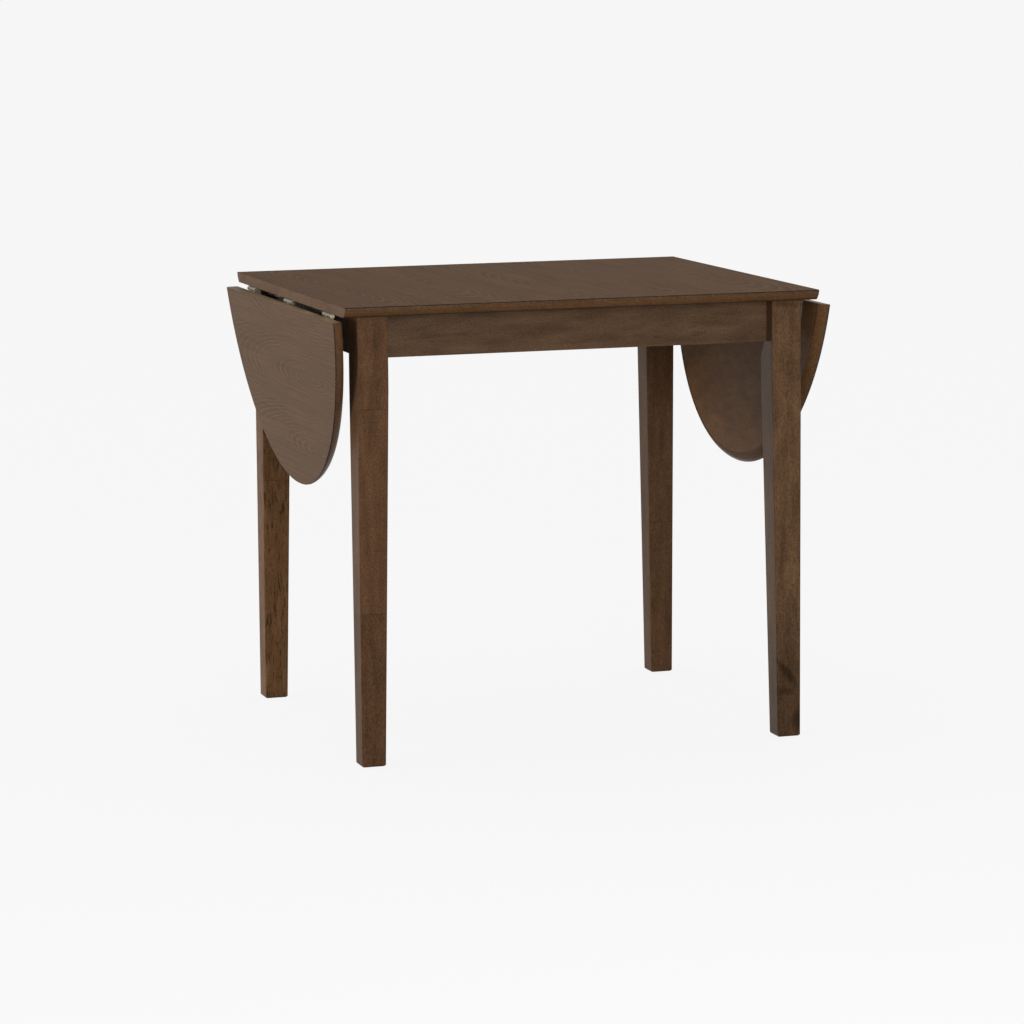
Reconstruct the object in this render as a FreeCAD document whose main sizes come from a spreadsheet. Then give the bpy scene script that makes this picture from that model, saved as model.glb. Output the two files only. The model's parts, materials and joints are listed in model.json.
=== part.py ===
import FreeCAD
import Part
import Sketcher
import os
import re

# Drop-leaf table: a fixed rectangular top on four knock-down legs, two D-shaped leaves
# on butt hinges, and flat support bars that pull out from under the top.
# +X points to the right, +Y to the back, +Z up; the origin is on the floor under the centre.

SIZES = {
    # whole table and the boards
    "table_height": 750,
    "top_length": 810,
    "top_depth": 700,
    "top_thickness": 17,
    "veneer_thickness": 0.6,
    "lipping_width": 16,
    "bevel_setback": 11.5,
    "bevel_radius": 24,
    "nose_height": 2.5,
    "arris": 0.8,
    # drop leaves and how they hang
    "leaf_drop": 303,
    "joint_gap": 1.5,
    "axis_inset": 1,
    "left_hang_tilt": 6.1,
    "right_hang_tilt": 4.7,
    # legs, with the taper starting that far below the top
    "leg_inset_x": 24,
    "leg_inset_y": 18,
    "leg_width": 52,
    "foot_width": 40,
    "foot_chamfer": 2,
    "taper_start": 118,
    "leg_arris": 2.5,
    "leg_chamfer": 16,
    "chamfer_runout": 28,
    # rails and corner blocks
    "apron_height": 70,
    "apron_thickness": 20,
    "front_apron_recess": 26,
    "end_apron_recess": 17,
    "block_gap": 6,
    "block_thickness": 25,
    "block_margin": 5,
    "block_screw_spread": 36,
    "block_screw_sink": 4,
    # hanger bolts
    "bolt_diameter": 8,
    "bolt_grip": 40,
    "bolt_tail": 4,
    "bolt_hole_clearance": 0.5,
    "washer_diameter": 22,
    "washer_thickness": 2,
    "nut_across_corners": 15,
    "nut_height": 6.5,
    # angle brackets under the top
    "bracket_reach": 25,
    "bracket_width": 20,
    "bracket_gauge": 2,
    "bracket_offset": 200,
    # hinges: one in the middle, and one near each leg, with that gap between leg and plate
    "hinge_length": 50,
    "hinge_offset": 10,
    "hinge_plate_width": 30,
    "hinge_gauge": 2,
    "barrel_diameter": 7.6,
    "pin_diameter": 3.6,
    "knuckle_gap": 0.4,
    "hinge_screw_spread": 16,
    "hinge_screw_near": 11,
    "hinge_screw_edge": 8,
    # pull-out support bars, set in from the middle of the end hinges, and their keepers
    "bar_width": 40,
    "bar_thickness": 5,
    "bar_length": 325,
    "bar_inset": 6,
    "bar_offset": 97,
    "bar_corner": 8,
    "slide_clearance": 0.4,
    "keeper_gauge": 2.5,
    "keeper_width": 18,
    "keeper_flange": 16,
    "outer_keeper_inset": 24,
    "inner_keeper_inset": 105,
    "knob_inset": 28,
    "knob_diameter": 16,
    "knob_height": 10,
    "knob_neck_diameter": 9,
    "knob_neck_height": 5,
    "knob_shank_diameter": 6,
    # screws: flat head for the hinges, pan head for the straps, and long ones for the blocks
    "fit_clearance": 0.05,
    "flat_head_diameter": 6.6,
    "flat_head_height": 1.7,
    "flat_shank_diameter": 3.5,
    "flat_length": 14,
    "pan_head_diameter": 8,
    "pan_head_height": 2.4,
    "pan_shank_diameter": 4,
    "pan_length": 14,
    "block_head_diameter": 7,
    "block_head_height": 2.5,
    "block_shank_diameter": 3.5,
    "block_bite": 13,
    "screw_tip": 3,
    # how far a cutting shape reaches past the face it opens
    "overcut": 10,
}

DERIVED = {
    "half_length": "top_length / 2",
    "half_depth": "top_depth / 2",
    "underside": "table_height - top_thickness",
    "board": "top_thickness - veneer_thickness",
    # leaf frame: on the hinge axis, x outwards and z up while the leaf is raised
    "barrel_radius": "barrel_diameter / 2",
    "axis_drop": "barrel_radius + knuckle_gap",
    "axis_x": "half_length - axis_inset",
    "axis_z": "underside - axis_drop",
    "joint_edge": "axis_inset + joint_gap",
    "leaf_radius": "(half_depth ^ 2 + leaf_drop ^ 2) / (2 * leaf_drop)",
    "leaf_centre": "joint_edge + leaf_drop - leaf_radius",
    # legs and rails, given for the back right corner
    "leg_x": "half_length - leg_inset_x",
    "leg_y": "half_depth - leg_inset_y",
    "leg_inner_x": "leg_x - leg_width",
    "leg_inner_y": "leg_y - leg_width",
    "taper_height": "underside - taper_start",
    "apron_bottom": "underside - apron_height",
    "front_apron_face": "leg_y - front_apron_recess",
    "front_apron_back": "front_apron_face - apron_thickness",
    "end_apron_face": "leg_x - end_apron_recess",
    "end_apron_back": "end_apron_face - apron_thickness",
    # sums x + y on the faces that cross the corner at 45 degrees
    "leg_cut_sum": "leg_inner_x + leg_inner_y + leg_chamfer",
    "block_outer_sum": "leg_cut_sum - block_gap * sqrt(2)",
    "block_inner_sum": "block_outer_sum - block_thickness * sqrt(2)",
    "block_mid_sum": "(block_outer_sum + block_inner_sum) / 2",
    "block_middle_z": "underside - apron_height / 2",
    "block_height": "apron_height - 2 * block_margin",
    "block_screw_y": "block_mid_sum - end_apron_back",
    "block_screw_x": "block_mid_sum - front_apron_back",
    "block_screw_start": "(block_inner_sum - block_mid_sum) + block_screw_sink",
    "block_length": "block_bite - block_screw_start",
    # places along the bolt, counted outwards from the leg's inner corner
    "leg_cut_along": "leg_chamfer / sqrt(2)",
    "block_face_along": "leg_cut_along - block_gap - block_thickness",
    "washer_along": "block_face_along - washer_thickness",
    "nut_along": "washer_along - nut_height",
    "bolt_along": "nut_along - bolt_tail",
    "bolt_length": "leg_cut_along + bolt_grip - bolt_along",
    # hinges
    "hinge_y": "leg_inner_y - hinge_offset - hinge_length / 2",
    "hinge_screw_far": "hinge_plate_width - hinge_screw_edge",
    "knuckle_half": "(hinge_length - 2 * knuckle_gap) / 6",
    "plate_low": "axis_drop - hinge_gauge",
    # support bars, which slide out until the knob meets the inner keeper
    "bar_y": "hinge_y - bar_offset",
    "bar_end": "half_length - bar_inset",
    "bar_top": "underside - slide_clearance",
    "bar_bottom": "bar_top - bar_thickness",
    "channel_half": "bar_width / 2 + slide_clearance",
    "channel_depth": "bar_thickness + 2 * slide_clearance",
    "keeper_half": "channel_half + keeper_gauge",
    "outer_keeper_x": "half_length - outer_keeper_inset",
    "inner_keeper_x": "half_length - inner_keeper_inset",
    "knob_x": "bar_end - bar_length + knob_inset",
    "bar_travel": "inner_keeper_x - knob_x - (keeper_width + knob_diameter) / 2",
}

doc = FreeCAD.newDocument("drop_leaf_table")
sheet = doc.addObject("Spreadsheet::Sheet", "sizes")
for row, (alias, size) in enumerate(SIZES.items(), start=1):
    sheet.set(f"A{row}", alias)
    sheet.set(f"B{row}", str(size))
    sheet.setAlias(f"B{row}", alias)
doc.recompute()

X_AXIS = FreeCAD.Vector(1, 0, 0)
Y_AXIS = FreeCAD.Vector(0, 1, 0)
Z_AXIS = FreeCAD.Vector(0, 0, 1)
UPRIGHT = FreeCAD.Rotation()
ALONG_X = FreeCAD.Rotation(Z_AXIS, X_AXIS)
ALONG_Y = FreeCAD.Rotation(Z_AXIS, Y_AXIS)
ALONG_CORNER = FreeCAD.Rotation(Z_AXIS, FreeCAD.Vector(1, 1, 0))
HALF_TURN = 180
SIDES = ("right", "left")

nodes = {}


def formula(text):
    """Write a rule in plain names as an expression on the sheet's cells."""
    def swap(match):
        word = match.group(0)
        if word in DERIVED:
            return "(" + formula(DERIVED[word]) + ")"
        if word in SIZES:
            return "sizes." + word
        return word
    return re.sub(r"[A-Za-z_]+", swap, text)


def value(text):
    return float(sheet.evalExpression(formula(text)))


def bind(thing, **rules):
    for name, text in rules.items():
        thing.setExpression(name, formula(text))
    return thing


def place(thing, x="0", y="0", z="0", turn=UPRIGHT):
    thing.Placement = FreeCAD.Placement(FreeCAD.Vector(), turn)
    for axis, text in zip("xyz", (x, y, z)):
        thing.setExpression(f"Placement.Base.{axis}", formula(text))
    return thing


def node(label, thing):
    thing.Label = label
    nodes[label] = thing
    return thing


def box(x, y, z):
    """A box between pairs of rules for each axis."""
    block = doc.addObject("Part::Box", "block")
    bind(block, Length=f"({x[1]}) - ({x[0]})", Width=f"({y[1]}) - ({y[0]})", Height=f"({z[1]}) - ({z[0]})")
    return place(block, x[0], y[0], z[0])


def rod(radius, length, x="0", y="0", z="0", turn=UPRIGHT):
    cylinder = doc.addObject("Part::Cylinder", "rod")
    bind(cylinder, Radius=radius, Height=length)
    return place(cylinder, x, y, z, turn)


def gather(things):
    compound = doc.addObject("Part::Compound", "group")
    compound.Links = things
    return compound


def cut(base, *tools):
    result = doc.addObject("Part::Cut", "cut")
    result.Base = base
    result.Tool = tools[0] if len(tools) == 1 else gather(list(tools))
    return result


def common(base, tool):
    result = doc.addObject("Part::Common", "common")
    result.Base = base
    result.Tool = tool
    return result


def fuse(base, tool):
    result = doc.addObject("Part::Fuse", "fuse")
    result.Base = base
    result.Tool = tool
    return result


def mirror(source, normal):
    image = doc.addObject("Part::Mirroring", "mirror")
    image.Source = source
    image.Normal = normal
    return image


def hang(thing, tilt):
    """Carry a piece from the leaf's frame to where it hangs on the right."""
    held = place(gather([thing]), "axis_x", "0", "axis_z", FreeCAD.Rotation(Y_AXIS, 90))
    held.setExpression("Placement.Rotation.Angle", formula(f"90 + {tilt}"))
    return held


def hang_both(thing):
    """The right and the left copy of a piece, each at its own leaf's tilt."""
    return hang(thing, "right_hang_tilt"), mirror(hang(thing, "left_hang_tilt"), X_AXIS)


def link(source, x, y, z, turn=UPRIGHT):
    copy = doc.addObject("App::Link", "copy")
    copy.LinkedObject = source
    return place(copy, x, y, z, turn)


def both_ends(source):
    return [source, mirror(source, X_AXIS)]


def all_corners(source):
    ends = both_ends(source)
    return ends + [mirror(end, Y_AXIS) for end in ends]


def sketch(body, role, points, arcs=None, lift="0", swing=0):
    """A closed outline through points given as rules; arcs maps a point's place in the
    list to the radius rule of the outward arc that starts there."""
    arcs = arcs or {}
    drawing = body.newObject("Sketcher::SketchObject", "outline")
    plane = [part for part in body.Origin.OriginFeatures if part.Role == role][0]
    drawing.AttachmentSupport = [(plane, "")]
    drawing.MapMode = "FlatFace"
    drawing.AttachmentOffset = FreeCAD.Placement(FreeCAD.Vector(), FreeCAD.Rotation(Y_AXIS, swing))
    drawing.setExpression("AttachmentOffset.Base.z", formula(lift))
    spots = [FreeCAD.Vector(value(x), value(y), 0) for x, y in points]
    heads = []
    for index, start in enumerate(spots):
        end = spots[(index + 1) % len(spots)]
        if index not in arcs:
            drawing.addGeometry(Part.LineSegment(start, end))
            heads.append((1, 2))
            continue
        middle = (start + end) / 2
        chord = end - start
        outward = FreeCAD.Vector(chord.y, -chord.x, 0).normalize()
        radius = value(arcs[index])
        rise = radius - (radius ** 2 - (chord.Length / 2) ** 2) ** 0.5
        drawing.addGeometry(Part.Arc(start, middle + outward * rise, end))
        curve = drawing.Geometry[index]
        begins_here = curve.StartPoint.distanceToPoint(start) < curve.EndPoint.distanceToPoint(start)
        heads.append((1, 2) if begins_here else (2, 1))
    for index, (x, y) in enumerate(points):
        after = (index + 1) % len(points)
        rule = Sketcher.Constraint("Coincident", index, heads[index][1], after, heads[after][0])
        drawing.addConstraint(rule)
        for kind, text, place_now in (("DistanceX", x, spots[index].x), ("DistanceY", y, spots[index].y)):
            held = Sketcher.Constraint(kind, -1, 1, index, heads[index][0], place_now)
            number = drawing.addConstraint(held)
            drawing.setExpression(f"Constraints[{number}]", formula(text))
    for index, radius in arcs.items():
        number = drawing.addConstraint(Sketcher.Constraint("Radius", index, value(radius)))
        drawing.setExpression(f"Constraints[{number}]", formula(radius))
    return drawing


def pad(role, points, length, arcs=None, symmetric=False):
    body = doc.addObject("PartDesign::Body", "body")
    solid = body.newObject("PartDesign::Pad", "pad")
    solid.Profile = sketch(body, role, points, arcs)
    solid.SideType = "Symmetric" if symmetric else "One side"
    bind(solid, Length=length)
    return body


def revolve(points, arcs=None, angle=360):
    """Turn an outline of radius and height pairs about the body's Z axis."""
    body = doc.addObject("PartDesign::Body", "body")
    solid = body.newObject("PartDesign::Revolution", "turning")
    profile = sketch(body, "XZ_Plane", points, arcs)
    solid.Profile = profile
    solid.ReferenceAxis = (profile, ["V_Axis"])
    solid.Angle = angle
    solid.Midplane = True
    return body


def screw(head, head_height, shank, length, tapered, opening):
    """A screw that stands on its head along +Z, and the hole that takes it.
    The hole reaches past the head by the opening."""
    def turned(extra, below):
        top = "0" if tapered else f"-({head_height})"
        neck = head_height if tapered else "0"
        head_rim = f"({head}) / 2 + {extra}"
        shank_rim = f"({shank}) / 2 + {extra}"
        points = [("0", f"({top}) - ({below})"), (head_rim, f"({top}) - ({below})")]
        if tapered and below == "0":
            points.append((shank_rim, neck))
        elif tapered:
            points += [(head_rim, top), (shank_rim, neck)]
        else:
            points += [(head_rim, neck), (shank_rim, neck)]
        points += [(shank_rim, f"({length}) - screw_tip"), ("0", f"({length})")]
        return revolve(points)
    return turned("0", "0"), turned("fit_clearance", opening)


# Screws and the holes that take them
flat_screw, flat_hole = screw("flat_head_diameter", "flat_head_height", "flat_shank_diameter",
                              "flat_length", True, "overcut")
pan_screw, pan_hole = screw("pan_head_diameter", "pan_head_height", "pan_shank_diameter",
                            "pan_length", False, "overcut")
block_screw, block_hole = screw("block_head_diameter", "block_head_height", "block_shank_diameter",
                                "block_length", False, "overcut")

hinge_places = {"back": "hinge_y", "middle": "0"}
hinge_screw_spots = [
    ("hinge_screw_near", "hinge_screw_spread"),
    ("hinge_screw_far", "0"),
    ("hinge_screw_near", "-hinge_screw_spread"),
]
keeper_places = {"outer": "outer_keeper_x", "inner": "inner_keeper_x"}


def hinge_screw_set(source, side, x, z):
    """Screws of the three plates on one side of a hinge line; side is the way they lie."""
    every = []
    for y in ("hinge_y", "0", "-hinge_y"):
        for along, across in hinge_screw_spots:
            every.append(link(source, f"{x} + {side} * {along}", f"{y} + {across}", z))
    return gather(every)


def keeper_screw_set(source):
    every = []
    for x in keeper_places.values():
        for side in ("", "-"):
            y = f"bar_y + {side}(keeper_half + keeper_flange / 2)"
            every.append(link(source, x, y, "underside - keeper_gauge"))
    return gather(all_corners(gather(every)))


def bracket_spots():
    """Place and turn of the bracket's inner corner line on the back and right rails."""
    on_back = ("bracket_offset", "front_apron_back", "underside", UPRIGHT)
    on_right = ("end_apron_back", "0", "underside", FreeCAD.Rotation(Z_AXIS, -90))
    return on_back, on_right


def bracket_set(source):
    """Four copies on the long rails and two on the end rails."""
    on_back, on_right = [gather([link(source, *spot)]) for spot in bracket_spots()]
    return gather(all_corners(on_back) + both_ends(on_right))


def bracket_screw_pair(source):
    """One screw up into the top and one into the rail, in the bracket's own frame."""
    reach = "bracket_gauge + (bracket_reach - bracket_gauge) / 2"
    into_top = link(source, "0", f"-({reach})", "-bracket_gauge")
    into_rail = link(source, "0", "-bracket_gauge", f"-({reach})", ALONG_Y)
    return gather([into_top, into_rail])


def block_screw_set(source):
    """Two screws into each rail that meets a corner block."""
    every = []
    for side in ("", "-"):
        z = f"block_middle_z + {side}(block_screw_spread / 2)"
        every.append(link(source, "end_apron_back + block_screw_start", "block_screw_y", z, ALONG_X))
        every.append(link(source, "block_screw_x", "front_apron_back + block_screw_start", z, ALONG_Y))
    return gather(all_corners(gather(every)))


fixed_holes = hinge_screw_set(flat_hole, "-1", "axis_x", "underside - hinge_gauge")
top_hinge_holes = gather(both_ends(fixed_holes))
leaf_holes = hinge_screw_set(flat_hole, "1", "0", "plate_low")
keeper_holes = keeper_screw_set(pan_hole)
bracket_holes = bracket_set(bracket_screw_pair(pan_hole))
block_holes = block_screw_set(block_hole)

# Fixed top: board, face veneer, and lippings with an under-bevel along front and back
top_board = box(("-half_length", "half_length"),
                ("-half_depth + lipping_width", "half_depth - lipping_width"),
                ("underside", "underside + board"))
node("top_core", cut(top_board, top_hinge_holes, keeper_holes, bracket_holes))
node("top_veneer", box(("-half_length", "half_length"),
                       ("-half_depth + arris", "half_depth - arris"),
                       ("underside + board", "table_height")))


def lipping_outline(edge, low):
    """Section of a lipping whose outer face stands at edge and whose underside is at low."""
    return [
        (f"{edge} - lipping_width", low),
        (f"{edge} - bevel_setback", low),
        (edge, f"{low} + board - nose_height"),
        (edge, f"{low} + board - arris"),
        (f"{edge} - arris", f"{low} + board"),
        (f"{edge} - lipping_width", f"{low} + board"),
    ]


BEVEL = {1: "bevel_radius"}
back_lipping = node("back_lipping", pad("YZ_Plane", lipping_outline("half_depth", "underside"),
                                        "top_length", BEVEL, symmetric=True))
node("front_lipping", mirror(back_lipping, Y_AXIS))

# Drop leaves: D-shaped boards made in the leaf's own frame, then hung from the hinge line
beyond_joint = box(("joint_edge", "joint_edge + leaf_drop + overcut"),
                   ("-half_depth - overcut", "half_depth + overcut"),
                   ("axis_drop - overcut", "axis_drop + top_thickness + overcut"))
core_disc = rod("leaf_radius - lipping_width", "board", "leaf_centre", "0", "axis_drop")
veneer_disc = rod("leaf_radius - arris", "veneer_thickness", "leaf_centre", "0", "axis_drop + board")
lipping_ring = place(revolve(lipping_outline("leaf_radius", "0"), BEVEL, HALF_TURN),
                     "leaf_centre", "0", "axis_drop")
leaf_pieces = {
    "leaf_core": cut(common(core_disc, beyond_joint), leaf_holes),
    "leaf_veneer": common(veneer_disc, beyond_joint),
    "leaf_lipping": common(lipping_ring, beyond_joint),
}
for name, piece in leaf_pieces.items():
    for side, hung in zip(SIDES, hang_both(piece)):
        node(f"{side}_{name}", hung)


# Legs: square above, tapered on the two inner faces, inner corner cut away behind the rails
def rounded_square(width, shrink):
    """Outline from the outer corner towards the table, with rounded corners."""
    low = f"-({width}) + {shrink}"
    high = f"-({shrink})"
    return [
        (f"{low} + leg_arris", low),
        (f"{high} - leg_arris", low),
        (high, f"{low} + leg_arris"),
        (high, f"{high} - leg_arris"),
        (f"{high} - leg_arris", high),
        (f"{low} + leg_arris", high),
        (low, f"{high} - leg_arris"),
        (low, f"{low} + leg_arris"),
    ]


CORNER_ARCS = {corner: "leg_arris" for corner in (1, 3, 5, 7)}


def make_leg():
    body = doc.addObject("PartDesign::Body", "leg")
    levels = [
        ("foot_width", "foot_chamfer", "0"),
        ("foot_width", "0", "foot_chamfer"),
        ("leg_width", "0", "taper_height"),
        ("leg_width", "0", "underside"),
    ]
    rings = [sketch(body, "XY_Plane", rounded_square(width, shrink), CORNER_ARCS, lift)
             for width, shrink, lift in levels]
    blank = body.newObject("PartDesign::AdditiveLoft", "blank")
    blank.Profile = rings[0]
    blank.Sections = rings[1:]
    blank.Ruled = True
    doc.recompute()
    cut_at = "leg_width * sqrt(2) - leg_cut_along"
    corner_at = "leg_width * sqrt(2)"
    corner_cut = [
        (cut_at, "apron_bottom"),
        (corner_at, "apron_bottom - chamfer_runout"),
        (f"{corner_at} + overcut", "apron_bottom - chamfer_runout"),
        (f"{corner_at} + overcut", "underside + overcut"),
        (cut_at, "underside + overcut"),
    ]
    pocket = body.newObject("PartDesign::Pocket", "corner_cut")
    pocket.Profile = sketch(body, "XZ_Plane", corner_cut, swing=225)
    pocket.SideType = "Symmetric"
    bind(pocket, Length="leg_width * 2")
    place(body, "leg_x", "leg_y", "0")
    return body


def corner_rod(radius, along, length):
    """A rod on the bolt line, which crosses the leg's inner corner at 45 degrees."""
    x = f"leg_inner_x + ({along}) / sqrt(2)"
    y = f"leg_inner_y + ({along}) / sqrt(2)"
    return rod(radius, length, x, y, "block_middle_z", ALONG_CORNER)


def spread_corners(name, source):
    """Name one piece per corner, made from the back right one."""
    corners = ("back_right", "back_left", "front_right", "front_left")
    for corner, piece in zip(corners, all_corners(source)):
        node(f"{corner}_{name}", piece)


leg_bolt_hole = corner_rod("bolt_diameter / 2 + fit_clearance", "bolt_along", "bolt_length + fit_clearance")
spread_corners("leg", cut(make_leg(), leg_bolt_hole))

# Rails, with notches in the end rails for the support bars
back_rail = box(("-leg_inner_x", "leg_inner_x"), ("front_apron_back", "front_apron_face"),
                ("apron_bottom", "underside"))
back_apron = node("back_apron", cut(back_rail, bracket_holes, block_holes))
node("front_apron", mirror(back_apron, Y_AXIS))

end_rail = box(("end_apron_back", "end_apron_face"), ("-leg_inner_y", "leg_inner_y"),
               ("apron_bottom", "underside"))
bar_notch = box(("end_apron_back - overcut", "end_apron_face + overcut"),
                ("bar_y - channel_half", "bar_y + channel_half"),
                ("underside - channel_depth", "underside + overcut"))
bar_notches = gather([bar_notch, mirror(bar_notch, Y_AXIS)])
right_apron = node("right_apron", cut(end_rail, bar_notches, bracket_holes, block_holes))
node("left_apron", mirror(right_apron, X_AXIS))

# Corner blocks between the rails, and the bolts that draw the legs against the rails
block_plan = [
    ("end_apron_back", "block_outer_sum - end_apron_back"),
    ("block_outer_sum - front_apron_back", "front_apron_back"),
    ("block_inner_sum - front_apron_back", "front_apron_back"),
    ("end_apron_back", "block_inner_sum - end_apron_back"),
]
corner_block = place(pad("XY_Plane", block_plan, "block_height"), z="block_middle_z - block_height / 2")
block_bolt_hole = corner_rod("bolt_diameter / 2 + bolt_hole_clearance", "bolt_along", "bolt_length")
spread_corners("corner_block", cut(corner_block, block_bolt_hole, block_holes))

node("hanger_bolts", gather(all_corners(corner_rod("bolt_diameter / 2", "bolt_along", "bolt_length"))))
washer_bore = corner_rod("bolt_diameter / 2 + fit_clearance", "bolt_along", "bolt_length")
washer = cut(corner_rod("washer_diameter / 2", "washer_along", "washer_thickness"), washer_bore)
node("bolt_washers", gather(all_corners(washer)))
nut_blank = doc.addObject("Part::Prism", "nut_blank")
nut_blank.Polygon = 6
bind(nut_blank, Circumradius="nut_across_corners / 2", Height="nut_height")
place(nut_blank, "leg_inner_x + nut_along / sqrt(2)", "leg_inner_y + nut_along / sqrt(2)",
      "block_middle_z", ALONG_CORNER)
node("bolt_nuts", gather(all_corners(cut(nut_blank, washer_bore))))
node("corner_block_screws", block_screw_set(block_screw))

# Angle brackets that hold the top down on the rails
bracket_section = [
    ("0", "0"),
    ("-bracket_reach", "0"),
    ("-bracket_reach", "-bracket_gauge"),
    ("-bracket_gauge", "-bracket_gauge"),
    ("-bracket_gauge", "-bracket_reach"),
    ("0", "-bracket_reach"),
]
bracket = cut(pad("YZ_Plane", bracket_section, "bracket_width", symmetric=True),
              bracket_screw_pair(pan_hole))
node("top_brackets", bracket_set(bracket))
node("bracket_screws", bracket_set(bracket_screw_pair(pan_screw)))


# Hinges: three knuckles on a pin, the middle one on the leaf's plate
def hinge_plate(side, y, gaps, holes):
    """Plate and barrel about the hinge axis, less the gaps where the other knuckles run."""
    reach = ("0", "hinge_plate_width") if side == "1" else ("-hinge_plate_width", "0")
    half = "hinge_length / 2"
    plate = box(reach, (f"{y} - {half}", f"{y} + {half}"), ("plate_low", "axis_drop"))
    barrel = rod("barrel_radius", "hinge_length", "0", f"{y} - {half}", "0", ALONG_Y)
    bore = rod("pin_diameter / 2 + fit_clearance", "hinge_length", "0", f"{y} - {half}", "0", ALONG_Y)
    clear = "barrel_radius + knuckle_gap"
    sweep = (f"-({clear})", "overcut") if side == "-1" else ("-overcut", clear)
    slots = [box(sweep, (f"{y} + {low}", f"{y} + {high}"), ("-overcut", "overcut")) for low, high in gaps]
    return cut(fuse(plate, barrel), bore, holes, *slots)


middle_gap = [("-(knuckle_half + knuckle_gap)", "knuckle_half + knuckle_gap")]
end_gaps = [("-hinge_length", "-knuckle_half"), ("knuckle_half", "hinge_length")]
fixed_plate_holes = hinge_screw_set(flat_hole, "-1", "0", "plate_low")
for spot, y in hinge_places.items():
    fixed = place(hinge_plate("-1", y, middle_gap, fixed_plate_holes), "axis_x", "0", "axis_z")
    moving = hinge_plate("1", y, end_gaps, leaf_holes)
    for part_name, pair in (("fixed", both_ends(fixed)), ("moving", hang_both(moving))):
        for side, piece in zip(SIDES, pair):
            node(f"{side}_{spot}_hinge_{part_name}_plate", piece)
            if spot == "back":
                node(f"{side}_front_hinge_{part_name}_plate", mirror(piece, Y_AXIS))

pins = [rod("pin_diameter / 2", "hinge_length", "axis_x", f"{y} - hinge_length / 2", "axis_z", ALONG_Y)
        for y in ("-hinge_y", "0", "hinge_y")]
right_pins = node("right_hinge_pins", gather(pins))
node("left_hinge_pins", mirror(right_pins, X_AXIS))
top_screws = node("right_hinge_top_screws",
                  hinge_screw_set(flat_screw, "-1", "axis_x", "underside - hinge_gauge"))
node("left_hinge_top_screws", mirror(top_screws, X_AXIS))
for side, hung in zip(SIDES, hang_both(hinge_screw_set(flat_screw, "1", "0", "plate_low"))):
    node(f"{side}_hinge_leaf_screws", hung)

# Support bars: flat steel with a knob below, which is the handle and the end stop
bar_plan = [
    ("bar_end - bar_length", "bar_y - bar_width / 2"),
    ("bar_end - bar_corner", "bar_y - bar_width / 2"),
    ("bar_end", "bar_y - bar_width / 2 + bar_corner"),
    ("bar_end", "bar_y + bar_width / 2 - bar_corner"),
    ("bar_end - bar_corner", "bar_y + bar_width / 2"),
    ("bar_end - bar_length", "bar_y + bar_width / 2"),
]
bar_blank = place(pad("XY_Plane", bar_plan, "bar_thickness", {1: "bar_corner", 3: "bar_corner"}),
                  z="bar_bottom")
knob_hole = rod("knob_shank_diameter / 2 + fit_clearance", "bar_thickness", "knob_x", "bar_y",
                "bar_bottom")
spread_corners("support_bar", cut(bar_blank, knob_hole))
knob_section = [
    ("0", "bar_thickness"),
    ("0", "-knob_neck_height - knob_height"),
    ("knob_diameter / 2", "-knob_neck_height - knob_height"),
    ("knob_diameter / 2", "-knob_neck_height"),
    ("knob_neck_diameter / 2", "-knob_neck_height"),
    ("knob_neck_diameter / 2", "0"),
    ("knob_shank_diameter / 2", "0"),
    ("knob_shank_diameter / 2", "bar_thickness"),
]
knob = place(revolve(knob_section), "knob_x", "bar_y", "bar_bottom")
spread_corners("bar_knob", knob)

# Strap keepers that hold the bars up against the underside of the top
strap_section = [
    ("-keeper_half - keeper_flange", "0"),
    ("-keeper_half - keeper_flange", "-keeper_gauge"),
    ("-keeper_half", "-keeper_gauge"),
    ("-keeper_half", "-channel_depth - keeper_gauge"),
    ("keeper_half", "-channel_depth - keeper_gauge"),
    ("keeper_half", "-keeper_gauge"),
    ("keeper_half + keeper_flange", "-keeper_gauge"),
    ("keeper_half + keeper_flange", "0"),
    ("channel_half", "0"),
    ("channel_half", "-channel_depth"),
    ("-channel_half", "-channel_depth"),
    ("-channel_half", "0"),
]
strap = pad("YZ_Plane", strap_section, "keeper_width", symmetric=True)
straps = [link(strap, x, "bar_y", "underside") for x in keeper_places.values()]
node("bar_keepers", cut(gather(all_corners(gather(straps))), keeper_holes))
node("keeper_screws", keeper_screw_set(pan_screw))

doc.recompute()
for thing in doc.Objects:
    if {"Invalid", "Error"} & set(thing.State):
        raise RuntimeError(f"{thing.Name} ({thing.Label}) did not compute")
for label, thing in nodes.items():
    if thing.Shape.isNull() or not thing.Shape.isValid() or not thing.Shape.Solids:
        raise RuntimeError(f"{label} has no valid solid")

os.makedirs("parts", exist_ok=True)
for label, thing in nodes.items():
    thing.Shape.exportStep(f"parts/{label}.step")
print(f"{len(nodes)} sub-parts written; a support bar slides {value('bar_travel'):.1f} mm")
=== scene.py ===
import json
import math

import bpy
from mathutils import Matrix, Vector


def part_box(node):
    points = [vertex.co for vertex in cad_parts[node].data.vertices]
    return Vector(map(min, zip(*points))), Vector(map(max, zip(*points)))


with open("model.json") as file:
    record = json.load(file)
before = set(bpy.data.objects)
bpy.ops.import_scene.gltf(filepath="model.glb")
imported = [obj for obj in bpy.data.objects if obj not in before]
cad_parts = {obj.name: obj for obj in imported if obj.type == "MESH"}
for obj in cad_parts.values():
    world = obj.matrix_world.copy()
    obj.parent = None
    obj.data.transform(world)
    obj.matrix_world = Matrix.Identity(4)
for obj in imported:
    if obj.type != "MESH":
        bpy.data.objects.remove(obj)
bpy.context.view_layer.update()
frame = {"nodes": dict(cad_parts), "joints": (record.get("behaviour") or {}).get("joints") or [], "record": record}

# Drop-leaf table in dark-stained wood, with both leaves hanging
nodes = frame["nodes"]
folds = {joint["child"]: joint for joint in frame["joints"] if joint["type"] == "hinge"}
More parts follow.
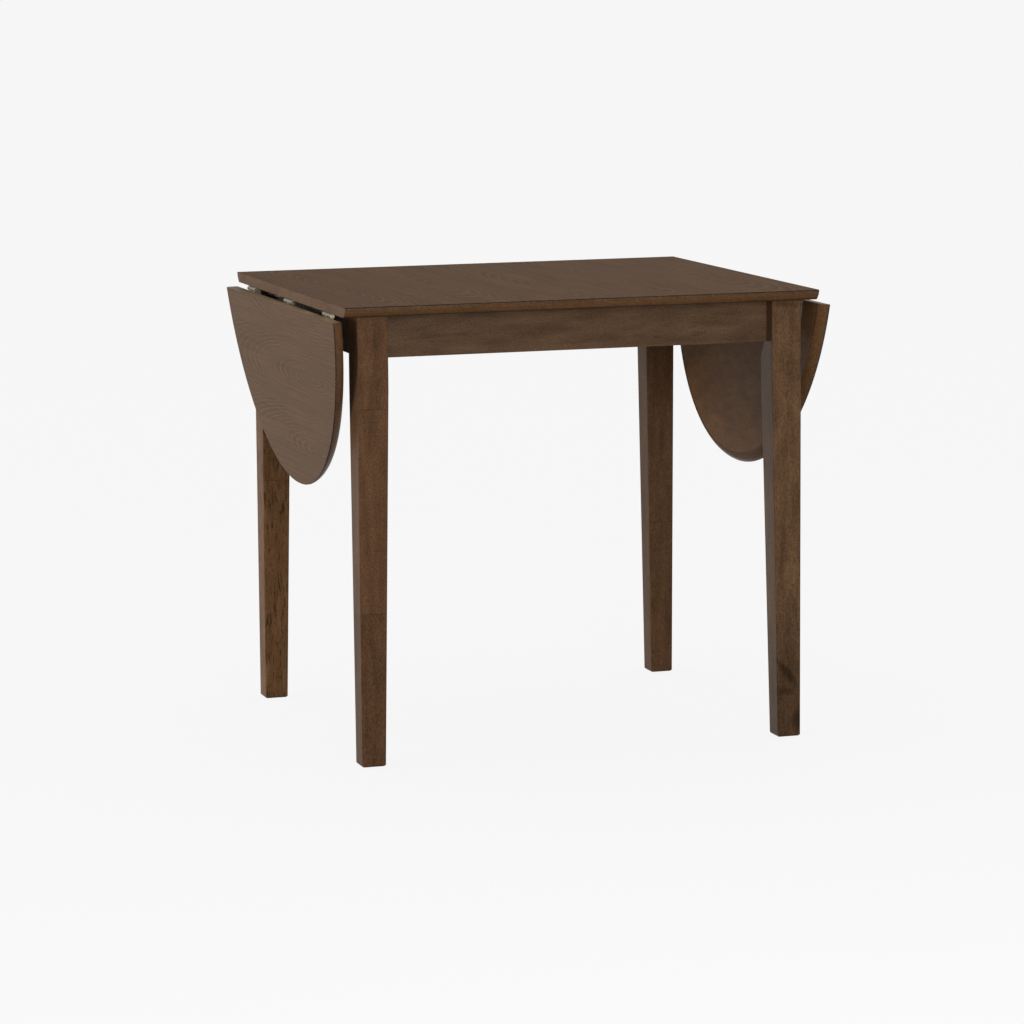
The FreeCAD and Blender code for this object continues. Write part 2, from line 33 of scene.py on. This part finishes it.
slotOf = {part["node"]: part["material_slot"] for part in frame["record"]["subparts"]}
mmPerMetre = 1000
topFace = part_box("top_veneer")[1].z * mmPerMetre
print("frame loaded:", len(nodes), "nodes")


def linear(code):  # sRGB hex to the linear colour of a shader socket
    channels = [int(code[i:i + 2], 16) / 255 for i in (1, 3, 5)]
    return [c / 12.92 if c <= 0.04045 else ((c + 0.055) / 1.055) ** 2.4 for c in channels] + [1.0]


def addNode(tree, kind, *values, named=None, **settings):
    # values go to the shown sockets in order, named ones by name; a node as a value links its first output
    node = tree.nodes.new("ShaderNode" + kind)
    for key, value in settings.items():
        setattr(node, key, value)
    shown = [socket for socket in node.inputs if socket.enabled]
    pairs = list(zip(shown, values)) + [(node.inputs[key], value) for key, value in (named or {}).items()]
    for socket, value in pairs:
        if isinstance(value, bpy.types.Node):
            value = next(output for output in value.outputs if output.enabled)
        if isinstance(value, bpy.types.NodeSocket):
            tree.links.new(value, socket)
        else:
            socket.default_value = value
    return node


eased = {"interpolation_type": "SMOOTHSTEP"}  # Map Range settings for a soft step
tinted = {"data_type": "RGBA", "blend_type": "MULTIPLY"}  # Mix settings that darken or lighten a colour
turned = {"rotation_type": "AXIS_ANGLE"}  # Vector Rotate settings
noiseSpan = (0.3, 0.7)  # nearly all values of a noise lie between these


def newMaterial(name):
    material = bpy.data.materials.new(name)
    material.use_nodes = True
    material.node_tree.nodes.clear()
    return material, material.node_tree


def boardPlace(tree, body):
    # millimetres in the table's frame, with a leaf counted as if it were raised
    place = addNode(tree, "TexCoord").outputs["Object"]
    if body in folds:
        fold = folds[body]
        raised = math.radians(fold["range_deg"][1])
        place = addNode(tree, "VectorRotate", place, fold["pos_m"], fold["axis"], raised, **turned)
    return addNode(tree, "VectorMath", place, mmPerMetre, operation="SCALE")


def grainPattern(tree, place, lengthMm, widthMm, detail=2.0):
    # cloudy streaks of that length along the first axis and that width across it
    cell = addNode(tree, "VectorMath", place, (lengthMm, widthMm, widthMm), operation="DIVIDE")
    return addNode(tree, "TexNoise", cell, 1.0, detail)


lacquerSink = {"strength": 0.2, "depth": 0.00015}  # depth in metres


def lacquer(tree, colour, tones, pores, roughness, gloss):
    # stained wood under a thin lacquer that sinks a little into the pores
    for tone in tones:
        colour = addNode(tree, "Mix", 1.0, colour, tone, **tinted)
    bump = addNode(tree, "Bump", lacquerSink["strength"], lacquerSink["depth"],
                   named={"Height": pores}, invert=True)
    skin = {"Base Color": colour, "Roughness": roughness, "Specular IOR Level": gloss, "Normal": bump}
    addNode(tree, "OutputMaterial", addNode(tree, "BsdfPrincipled", named=skin))


def dress(name, material):
    nodes[name].data.materials[0] = material


def titled(name):  # front_left becomes FrontLeft, for the names of materials
    return name.title().replace("_", "")


# Oak veneer, sliced and slip-matched, stained dark and lacquered matt: faint cathedral arches in patches,
# fine lines and open pores along the grain. Lines and pores are drawn several times as wide as real ones,
# so that they show.
oakVeneer = {
    "pale": "#6B523B", "deep": "#4C3623",
    "rise": 0.14,  # slope of the log's heart under the sheet, which makes the arches
    "waveMm": (190, 40, 5),  # length, width and amount of the slow bends
    "zigzagMm": (15, 5, 1.5),  # the same for the ragged run of each ring
    "unevenMm": (40, 4),  # spread and amount of good and bad years
    "ringEarly": (0.0, 0.32), "ringLate": (0.76, 1.0),  # shares of a ring where its tone rises and falls
    "patchMm": (130, 26), "patchSpan": (0.4, 0.64), "patchShare": (0.04, 0.5), "plainDepth": 0.55,
    "lineMm": (260, 1.9), "lineTone": (0.82, 1.1),
    "cloudMm": (240, 45), "cloudTone": (0.94, 1.04), "sheetTone": (0.96, 1.04),
    "poreMm": (14, 1.6), "poreSpan": (0.55, 0.7), "poreTone": 0.82,
    "edgeMm": (0.45, 0.05), "edgeTone": 0.35,  # cut edge of the sheet, below the face
    "layerMm": 900,  # keeps the pattern of one sheet clear of the next
}
veneerPanels = {
    "top": {"body": "table", "start": -405, "sheetMm": 162, "eyeMm": -40, "slipMm": 420,
            "ringMm": 7.5, "roughness": 0.7, "gloss": 0.022},
    "left_leaf": {"body": "left_leaf", "start": -577, "sheetMm": 122, "eyeMm": 180, "slipMm": 40,
                  "ringMm": 5, "roughness": 0.5, "gloss": 0.045},
    "right_leaf": {"body": "right_leaf", "start": 455, "sheetMm": 122, "eyeMm": 120, "slipMm": 60,
                   "ringMm": 5, "roughness": 0.5, "gloss": 0.045},
}


def veneerMaterial(name, panel):
    wood = oakVeneer
    material, tree = newMaterial(name)
    x, y, z = addNode(tree, "SeparateXYZ", boardPlace(tree, panel["body"])).outputs
    shifted = addNode(tree, "Math", x, panel["start"], operation="SUBTRACT")
    count = addNode(tree, "Math", shifted, panel["sheetMm"], operation="DIVIDE")
    sheet = addNode(tree, "Math", count, operation="FLOOR")
    chance = addNode(tree, "TexWhiteNoise", sheet, noise_dimensions="1D").outputs["Color"]
    slipLuck, toneLuck, _ = addNode(tree, "SeparateXYZ", chance).outputs
    inSheet = addNode(tree, "Math", count, sheet, operation="SUBTRACT")
    half = panel["sheetMm"] / 2
    across = addNode(tree, "MapRange", inSheet, 0, 1, -half, half)
    # the eye of the arches slips from sheet to sheet
    eye, reach = panel["eyeMm"], panel["slipMm"] / 2
    slip = addNode(tree, "MapRange", slipLuck, 0, 1, eye - reach, eye + reach)
    along = addNode(tree, "Math", y, slip, operation="ADD")
    layer = addNode(tree, "Math", sheet, wood["layerMm"], operation="MULTIPLY")
    grain = addNode(tree, "CombineXYZ", along, across, layer)
    # rings: distance from the heart, bent by waves, zigzags and uneven years
    length, width, amount = wood["waveMm"]
    wave = addNode(tree, "MapRange", grainPattern(tree, grain, length, width), 0, 1, -amount, amount)
    side = addNode(tree, "Math", across, wave, operation="ADD")
    depth = addNode(tree, "Math", along, wood["rise"], operation="MULTIPLY")
    radius = addNode(tree, "VectorMath", addNode(tree, "CombineXYZ", side, depth), operation="LENGTH")
    length, width, amount = wood["zigzagMm"]
    zigzag = addNode(tree, "MapRange", grainPattern(tree, grain, length, width), 0, 1, -amount, amount)
    spread, amount = wood["unevenMm"]
    years = grainPattern(tree, addNode(tree, "CombineXYZ", radius, layer), spread, mmPerMetre)
    uneven = addNode(tree, "MapRange", years, 0, 1, -amount, amount)
    for change in (zigzag, uneven):
        radius = addNode(tree, "Math", radius, change, operation="ADD")
    rings = addNode(tree, "Math", radius, panel["ringMm"], operation="DIVIDE")
    ring = addNode(tree, "Math", rings, operation="FRACT")
    growth = addNode(tree, "MapRange", ring, *wood["ringEarly"], **eased)
    winter = addNode(tree, "MapRange", ring, *wood["ringLate"], 1, 0, **eased)
    late = addNode(tree, "Math", growth, winter, operation="MULTIPLY")
    patches = grainPattern(tree, grain, *wood["patchMm"])
    patchy = addNode(tree, "MapRange", patches, *wood["patchSpan"], *wood["patchShare"], **eased)
    # rings show only in patches, on an even ground
    band = addNode(tree, "Mix", patchy, wood["plainDepth"], late)
    ground = addNode(tree, "Mix", band, linear(wood["pale"]), linear(wood["deep"]), data_type="RGBA")
    sizes = [wood[key] for key in ("lineMm", "cloudMm", "poreMm")]
    lines, clouds, specks = [grainPattern(tree, grain, *size) for size in sizes]
    pores = addNode(tree, "MapRange", specks, *wood["poreSpan"], **eased)
    edgeLow, edgeHigh = [topFace - below for below in wood["edgeMm"]]
    tones = (
        addNode(tree, "MapRange", lines, *noiseSpan, *wood["lineTone"], **eased),
        addNode(tree, "MapRange", clouds, *noiseSpan, *wood["cloudTone"], **eased),
        addNode(tree, "MapRange", toneLuck, 0, 1, *wood["sheetTone"]),
        addNode(tree, "MapRange", pores, 0, 1, 1, wood["poreTone"]),
        addNode(tree, "MapRange", z, edgeLow, edgeHigh, wood["edgeTone"], 1, **eased),
    )
    lacquer(tree, ground, tones, pores, panel["roughness"], panel["gloss"])
    return material


# Rubberwood in finger-jointed blocks, stained walnut brown and lacquered: uneven blotches from block
# to block, dark pore dashes along the grain, and a thin dark line at each joint. The pores are drawn
# several times as wide as real ones, so that they show.
rubberwood = {
    "pale": "#654833", "deep": "#3E2B1B", "roughness": 0.3, "gloss": 0.024,
    "streakMm": (110, 11), "cloudMm": (55, 18), "figureSpan": (0.65, 1.35), "figureDepth": (0.2, 0.8),
    "fleckMm": (3.2, 2.2), "fleckTone": (0.78, 1.19),
    "poreMm": (11, 1.8), "poreSpan": (0.54, 0.68), "poreTone": 0.78,
    "seamMm": 0.55, "seamTone": 0.62, "fingerMm": (9, 12), "fingerFrom": 332,
    "arrisTone": 0.86, "arrisSpan": (0.76, 0.99),  # stain gathers where the surface turns a corner
    "blockMm": 4000,  # each block's pattern comes from another place in the timber
}
axisOrder = {"X": (0, 1, 2), "Y": (1, 0, 2), "Z": (2, 1, 0)}  # along the grain first


def rubberwoodMaterial(name, grain, seed, body="table", seams=(), blocks=(1.0,), marks=(), bands=(),
                       changes=None):
    wood = {**rubberwood, **(changes or {})}
    material, tree = newMaterial(name)
    place = boardPlace(tree, body)
    axes = addNode(tree, "SeparateXYZ", place).outputs
    along, across, through = [axes[i] for i in axisOrder[grain]]
    block, tones = seed, []
    if seams:  # blocks meet in fingers that show on one pair of faces, and as a straight line on the other
        length, pitch = wood["fingerMm"]
        fromFace = addNode(tree, "Math", across, wood["fingerFrom"], operation="ADD")
        finger = addNode(tree, "Math", fromFace, pitch / 2, operation="PINGPONG")
        toothed = addNode(tree, "Math", finger, 2 * length / pitch, along, operation="MULTIPLY_ADD")
    for seam, tone, nextTone in zip(seams, blocks, blocks[1:]):
        past = addNode(tree, "Math", toothed, seam, operation="GREATER_THAN")
        block = addNode(tree, "Math", block, past, operation="ADD")
        near = addNode(tree, "Math", toothed, seam, wood["seamMm"], operation="COMPARE")
        tones.append(addNode(tree, "MapRange", near, 0, 1, 1, wood["seamTone"]))
        tones.append(addNode(tree, "MapRange", past, 0, 1, tone / blocks[-1], nextTone / blocks[-1]))
    chance = addNode(tree, "TexWhiteNoise", block, noise_dimensions="1D").outputs["Color"]
    offset = addNode(tree, "VectorMath", chance, wood["blockMm"], operation="SCALE")
    lined = addNode(tree, "CombineXYZ", along, across, through)
    own = addNode(tree, "VectorMath", lined, offset, operation="ADD")
    streaks, clouds = [grainPattern(tree, own, *wood[key], detail=3) for key in ("streakMm", "cloudMm")]
    figure = addNode(tree, "Math", streaks, clouds, operation="ADD")
    depth = addNode(tree, "MapRange", figure, *wood["figureSpan"], *wood["figureDepth"])
    ground = addNode(tree, "Mix", depth, linear(wood["pale"]), linear(wood["deep"]), data_type="RGBA")
    specks, flecks = [grainPattern(tree, own, *wood[key]) for key in ("poreMm", "fleckMm")]
    pores = addNode(tree, "MapRange", specks, *wood["poreSpan"], **eased)
    tones.append(addNode(tree, "MapRange", pores, 0, 1, 1, wood["poreTone"]))
    tones.append(addNode(tree, "MapRange", flecks, *noiseSpan, *wood["fleckTone"], **eased))
    if wood["arrisTone"] < 1:
        normal = addNode(tree, "TexCoord").outputs["Normal"]
        facing = addNode(tree, "VectorMath", normal, operation="ABSOLUTE")
        nx, ny, nz = addNode(tree, "SeparateXYZ", facing).outputs
        wider = addNode(tree, "Math", nx, ny, operation="MAXIMUM")
        flat = addNode(tree, "Math", wider, nz, operation="MAXIMUM")
        tones.append(addNode(tree, "MapRange", flat, *wood["arrisSpan"], wood["arrisTone"], 1, **eased))
    tones += [woodMark(tree, place, own, **mark) for mark in marks]
    # tints that change with the depth below the top face, for the edges of the boards
    for low, high, lowTint, highTint in bands:
        step = addNode(tree, "MapRange", axes[2], topFace - low, topFace - high, **eased)
        tones.append(addNode(tree, "Mix", step, linear(lowTint), linear(highTint), data_type="RGBA"))
    lacquer(tree, ground, tones, pores, wood["roughness"], wood["gloss"])
    return material


# a mark's edge is broken by the grain and fades between these shares of its reach
ragged = {"grainMm": (14, 3), "amount": 0.9, "edge": (0.7, 1.5)}


def woodMark(tree, place, own, centre, reach, tone, lean=0):
    # a dark or pale mark in the wood, such as a knot or a streak, that leans in the XZ plane
    moved = addNode(tree, "VectorRotate", place, centre, (0, 1, 0), math.radians(lean), **turned)
    away = addNode(tree, "VectorMath", moved, centre, operation="SUBTRACT")
    share = addNode(tree, "VectorMath", away, reach, operation="DIVIDE")
    far = addNode(tree, "VectorMath", share, operation="LENGTH")
    grain = grainPattern(tree, own, *ragged["grainMm"])
    edge = addNode(tree, "Math", grain, ragged["amount"], far, operation="MULTIPLY_ADD")
    return addNode(tree, "MapRange", edge, *ragged["edge"], tone, 1, **eased)


# The front legs' joints and marks are where the photograph shows them; the back legs' are placed to match
legs = {
    "front_left": {
        "seed": 3, "seams": (251, 583), "blocks": (0.86, 1.0, 0.95),
        "changes": {"gloss": 0.018},
        "marks": (
            {"centre": (-354, -332, 623), "reach": (14, 40, 14), "tone": 0.86},
            {"centre": (-346, -332, 354), "reach": (13, 40, 2.6), "tone": 0.78},
        ),
    },
    "front_right": {
        "seed": 11,
        "changes": {"pale": "#6C5139", "deep": "#432F20", "gloss": 0.045},
        "marks": (
            {"centre": (357, -332, 108), "reach": (9, 40, 38), "lean": 36, "tone": 0.45},
            {"centre": (353, -332, 77), "reach": (20, 40, 9), "tone": 0.62},
            {"centre": (376, -332, 28), "reach": (15, 30, 24), "tone": 0.42},
            {"centre": (351, -332, 727), "reach": (30, 40, 9), "lean": -6, "tone": 0.6},
            {"centre": (355, -332, 60), "reach": (90, 90, 190), "tone": 0.66},
        ),
    },
    "back_left": {
        "seed": 22, "seams": (395, 610), "blocks": (1.0, 0.96, 1.0),
        # its pale and deep are a paler copy of the leg stain: painted light that lifts this back leg out of its
        # shade; the pores and flecks are its own grain
        "changes": {"pale": "#7E5B3D", "deep": "#4E3622", "gloss": 0.016,
                    "poreMm": (22, 2.8), "poreTone": 0.4, "fleckTone": (0.8, 1.16)},
    },
    "back_right": {
        "seed": 37, "seams": (284,), "blocks": (1.03, 1.0),
        # a paler copy of the leg stain: painted light that lifts this back leg out of its shade
        "changes": {"pale": "#694D37", "deep": "#442F1F"},
    },
}
for corner, leg in legs.items():
    dress(f"{corner}_leg", rubberwoodMaterial(f"stainedRubberwood{titled(corner)}Leg", "Z", **leg))

rails = {
    "front": {"grain": "X", "seed": 50, "marks": (
        {"centre": (207, -306, 681), "reach": (20, 40, 6), "lean": 8, "tone": 0.8},
        {"centre": (107, -306, 682), "reach": (22, 40, 5), "lean": -6, "tone": 0.84},
        {"centre": (156, -306, 698), "reach": (24, 40, 6), "lean": 10, "tone": 0.86},
    )},
    "back": {"grain": "X", "seed": 51},
    "left": {"grain": "Y", "seed": 52},
    "right": {"grain": "Y", "seed": 53},
}
railStain = {"pale": "#644D3A", "deep": "#3F2F22", "streakMm": (90, 12), "cloudMm": (55, 16),
             "fleckTone": (0.84, 1.14)}
for side, rail in rails.items():
    finish = rubberwoodMaterial(f"stainedRubberwood{titled(side)}Apron", changes=railStain, **rail)
    dress(f"{side}_apron", finish)

# Edge strips: a dark line under the veneer, then a nose tinted greyish as a painted sheen, then a golden bevel
# kept lighter as painted light where it faces down, which ends on the fixed top in a painted shadow along the
# lower edge. A band is two depths below the top face and the tints that it runs between.
lippings = {
    "front": {"grain": "X", "seed": 70, "bandCount": 3},
    "back": {"grain": "X", "seed": 71, "bandCount": 3},
    "right_leaf": {"grain": "Y", "seed": 72, "bandCount": 2, "body": "right_leaf"},
    "left_leaf": {"grain": "Y", "seed": 73, "bandCount": 2, "body": "left_leaf"},
}
lippingStain = {"pale": "#685040", "deep": "#513E2F", "streakMm": (160, 6), "arrisTone": 1}
lippingLinesAndPaintedLight = (
    (2.0, 1.4, "#FFFFFF", "#B0B0B0"),
    # painted sheen on the nose, and painted light on the downward-facing bevel below it
    (5.2, 4.2, "#FFECC8", "#E8E8E8"),
    # painted shadow along the lower edge of the strip
    (16.2, 14.2, "#B0B0B0", "#FFFFFF"),
)
for name, strip in lippings.items():
    bands = lippingLinesAndPaintedLight[:strip.pop("bandCount")]
    finish = rubberwoodMaterial(f"stainedLipping{titled(name)}", bands=bands, changes=lippingStain, **strip)
    dress(f"{name}_lipping", finish)

# Boards: a plain backing veneer in the same stain, cloudy and almost without figure, on the underside,
# and a paler streaked edge where the leaves meet the top. On the leaves the backer is stained paler
# than on the top: painted light that lifts their inner faces out of the shade under the top.
# paler than the top's backer: painted light on the shaded inner faces of the leaves
leafStainWithPaintedLight = {"pale": "#8B6646", "deep": "#5F442C", "gloss": 0.05, "roughness": 0.5}
leafBands = ((16.7, 16.2, "#FFFFFF", "#E4FAFF"),)  # the joint edge is greyer than the inner face
boards = {
    "top": {"body": "table", "seed": 90, "stain": {"pale": "#6F5844", "deep": "#54402F"}},
    "left_leaf": {"body": "left_leaf", "seed": 92, "stain": leafStainWithPaintedLight, "bands": leafBands, "marks": (
        {"centre": (-405, -20, 742), "reach": (8, 110, 11), "tone": 1.4},
        {"centre": (-405, -165, 739), "reach": (8, 75, 10), "tone": 1.5},
        {"centre": (-405, -285, 738), "reach": (8, 50, 9), "tone": 1.4},
    )},
    "right_leaf": {"body": "right_leaf", "seed": 91, "stain": leafStainWithPaintedLight, "bands": leafBands, "marks": (
        {"centre": (650, -61, 729), "reach": (2.6, 4, 40), "tone": 0.4},
    )},
}
backer = {"streakMm": (40, 14), "cloudMm": (90, 50), "fleckMm": (5, 3), "fleckTone": (0.88, 1.1),
          "poreTone": 0.85, "arrisTone": 1, "roughness": 0.6, "gloss": 0.04}
for name, board in boards.items():
    changes = {**backer, **board.pop("stain")}
    dress(f"{name}_core", rubberwoodMaterial(f"stainedBacker{titled(name)}", "Y", changes=changes, **board))
for name, panel in veneerPanels.items():
    dress(f"{name}_veneer", veneerMaterial(f"stainedOakVeneer{titled(name)}", panel))

# Corner blocks: bare sawn rubberwood, pale and dry
bareStain = {"pale": "#D2B48A", "deep": "#A98558", "arrisTone": 1}
bareWood = rubberwoodMaterial("bareRubberwood", "X", 120, changes=bareStain)
for node, slot in slotOf.items():
    if slot == "raw_rubberwood":
        dress(node, bareWood)
print("wood finished")

# Metals with a soft worked haze: nickel plate on the hinges and zinc plate on the fixings, dulled in
# patches, and a blackened steel for the bars. The haze is drawn coarser than real, so that it shows.
metals = {
    "nickelPlate": {"colour": "#8E8674", "roughness": (0.3, 0.55), "slot": "nickel_steel"},
    "zincPlate": {"colour": "#B4B8BB", "roughness": (0.36, 0.55), "slot": "zinc_steel"},
    "blackenedSteel": {"colour": "#161514", "roughness": (0.55, 0.7), "slot": "bar_steel"},
}
plating = {"hazeMm": (30, 1.5), "hazeSpan": (0.35, 0.65), "hazeBump": 0.1, "hazeDepth": 0.00005,
           "dullMm": (9, 9), "dullTone": (0.55, 1)}


def platedMaterial(name, colour, roughness):
    material, tree = newMaterial(name)
    place = boardPlace(tree, "table")
    haze, dull = [grainPattern(tree, place, *plating[key], detail=3) for key in ("hazeMm", "dullMm")]
    rough = addNode(tree, "MapRange", haze, *plating["hazeSpan"], *roughness, **eased)
    tone = addNode(tree, "MapRange", dull, *noiseSpan, *plating["dullTone"], **eased)
    tint = addNode(tree, "Mix", 1.0, linear(colour), tone, **tinted)
    bump = addNode(tree, "Bump", plating["hazeBump"], plating["hazeDepth"], named={"Height": haze})
    skin = {"Base Color": tint, "Metallic": 1.0, "Roughness": rough, "Normal": bump}
    addNode(tree, "OutputMaterial", addNode(tree, "BsdfPrincipled", named=skin))
    return material


for name, metal in metals.items():
    plate = platedMaterial(name, metal["colour"], metal["roughness"])
    for node, slot in slotOf.items():
        if slot == metal["slot"]:
            dress(node, plate)
print("metal finished")

# Camera: fitted to the straight edges of the table in the photograph, in metres and degrees
view = {"place": (-2.136666, -6.590358, 1.380138), "yaw": 17.831, "pitch": 8.434, "roll": -0.449,
        "focalPixels": 4092.648, "framePixels": 1024, "sensorMm": 36, "farEnd": 1000}
yaw, pitch, roll = [math.radians(view[key]) for key in ("yaw", "pitch", "roll")]
ahead = Vector((math.sin(yaw) * math.cos(pitch), math.cos(yaw) * math.cos(pitch), -math.sin(pitch)))
level = Vector((math.cos(yaw), -math.sin(yaw), 0))
upright = level.cross(ahead)
right = level * math.cos(roll) + upright * math.sin(roll)
up = upright * math.cos(roll) - level * math.sin(roll)
lens = bpy.data.cameras.new("camera")
lens.sensor_width = view["sensorMm"]
lens.lens = view["focalPixels"] / view["framePixels"] * view["sensorMm"]
lens.clip_end = view["farEnd"]
camera = bpy.data.objects.new("camera", lens)
camera.matrix_world = Matrix((right, up, -ahead)).transposed().to_4x4()
camera.location = view["place"]
bpy.context.scene.collection.objects.link(camera)
bpy.context.scene.camera = camera

# Stage: pale floor that keeps a faint shadow, a tent of light that is brighter behind the table than in
# front, a pale backdrop for the eye, and two soft lamps, the side one low enough to reach under a leaf
stage = {
    "pale": "#F7F7F7", "bounce": "#8C8C8C", "floorSize": 600, "floorDrop": 0.0003,
    "shadowShare": 0.06, "openLevel": 0.93,  # openLevel is the light on the open floor
    "tentFront": 0.25, "tentBack": 1.4,
}
lamps = {
    "frontLamp": {"place": (-0.4, -4.5, 1.2), "aim": (0, 0, 0.5), "size": 2.2, "level": 0.6},
    "sideLamp": {"place": (-4.7, 0.2, 0.45), "aim": (0, 0, 0.5), "size": 1.0, "level": 0.42},
}


def seenDirectly(tree):
    # one for rays that show the background: to the camera, off gloss, or through glass
    path = addNode(tree, "LightPath").outputs
    seen = addNode(tree, "Math", path["Is Camera Ray"], path["Is Glossy Ray"], operation="ADD")
    return addNode(tree, "Math", seen, path["Is Transmission Ray"], operation="ADD", use_clamp=True)


world = bpy.data.worlds.new("studio")
bpy.context.scene.world = world
world.use_nodes = True
tree = world.node_tree
tree.nodes.clear()
toBack = addNode(tree, "SeparateXYZ", addNode(tree, "TexCoord").outputs["Generated"]).outputs["Y"]
tent = addNode(tree, "MapRange", toBack, -1, 1, stage["tentFront"], stage["tentBack"])
ambient = addNode(tree, "Background", (1, 1, 1, 1), tent)
backdrop = addNode(tree, "Background", linear(stage["pale"]), 1.0)
addNode(tree, "OutputWorld", addNode(tree, "MixShader", seenDirectly(tree), ambient, backdrop))

floorMesh = bpy.data.meshes.new("floor")
half = stage["floorSize"] / 2
floorCorners = [(-half, -half, 0), (half, -half, 0), (half, half, 0), (-half, half, 0)]
floorMesh.from_pydata(floorCorners, [], [(0, 1, 2, 3)])
floor = bpy.data.objects.new("floor", floorMesh)
floor.location.z = -stage["floorDrop"]
bpy.context.scene.collection.objects.link(floor)
paleFloor, tree = newMaterial("paleFloor")
grey = addNode(tree, "BsdfDiffuse", linear(stage["bounce"]))
shadow = addNode(tree, "BsdfDiffuse", [stage["shadowShare"]] * 3 + [1.0])
lit = stage["shadowShare"] * stage["openLevel"]
glow = addNode(tree, "Emission", [c - lit for c in linear(stage["pale"])[:3]] + [1.0])
surface = addNode(tree, "MixShader", seenDirectly(tree), grey, addNode(tree, "AddShader", shadow, glow))
below = addNode(tree, "NewGeometry").outputs["Backfacing"]
clear = addNode(tree, "BsdfTransparent")  # a view from below looks through the floor
addNode(tree, "OutputMaterial", addNode(tree, "MixShader", below, surface, clear))
floorMesh.materials.append(paleFloor)

for name, lamp in lamps.items():
    light = bpy.data.lights.new(name, "AREA")
    light.size = lamp["size"]
    lampObject = bpy.data.objects.new(name, light)
    away = Vector(lamp["place"]) - Vector(lamp["aim"])
    # a white face at the aim, square to the lamp, then renders at that level
    light.energy = lamp["level"] * math.pi ** 2 * away.length_squared
    lampObject.location = lamp["place"]
    lampObject.rotation_mode = "QUATERNION"
    lampObject.rotation_quaternion = away.to_track_quat("Z", "Y")
    bpy.context.scene.collection.objects.link(lampObject)
bpy.context.scene.view_settings.view_transform = "Standard"
print("stage set")
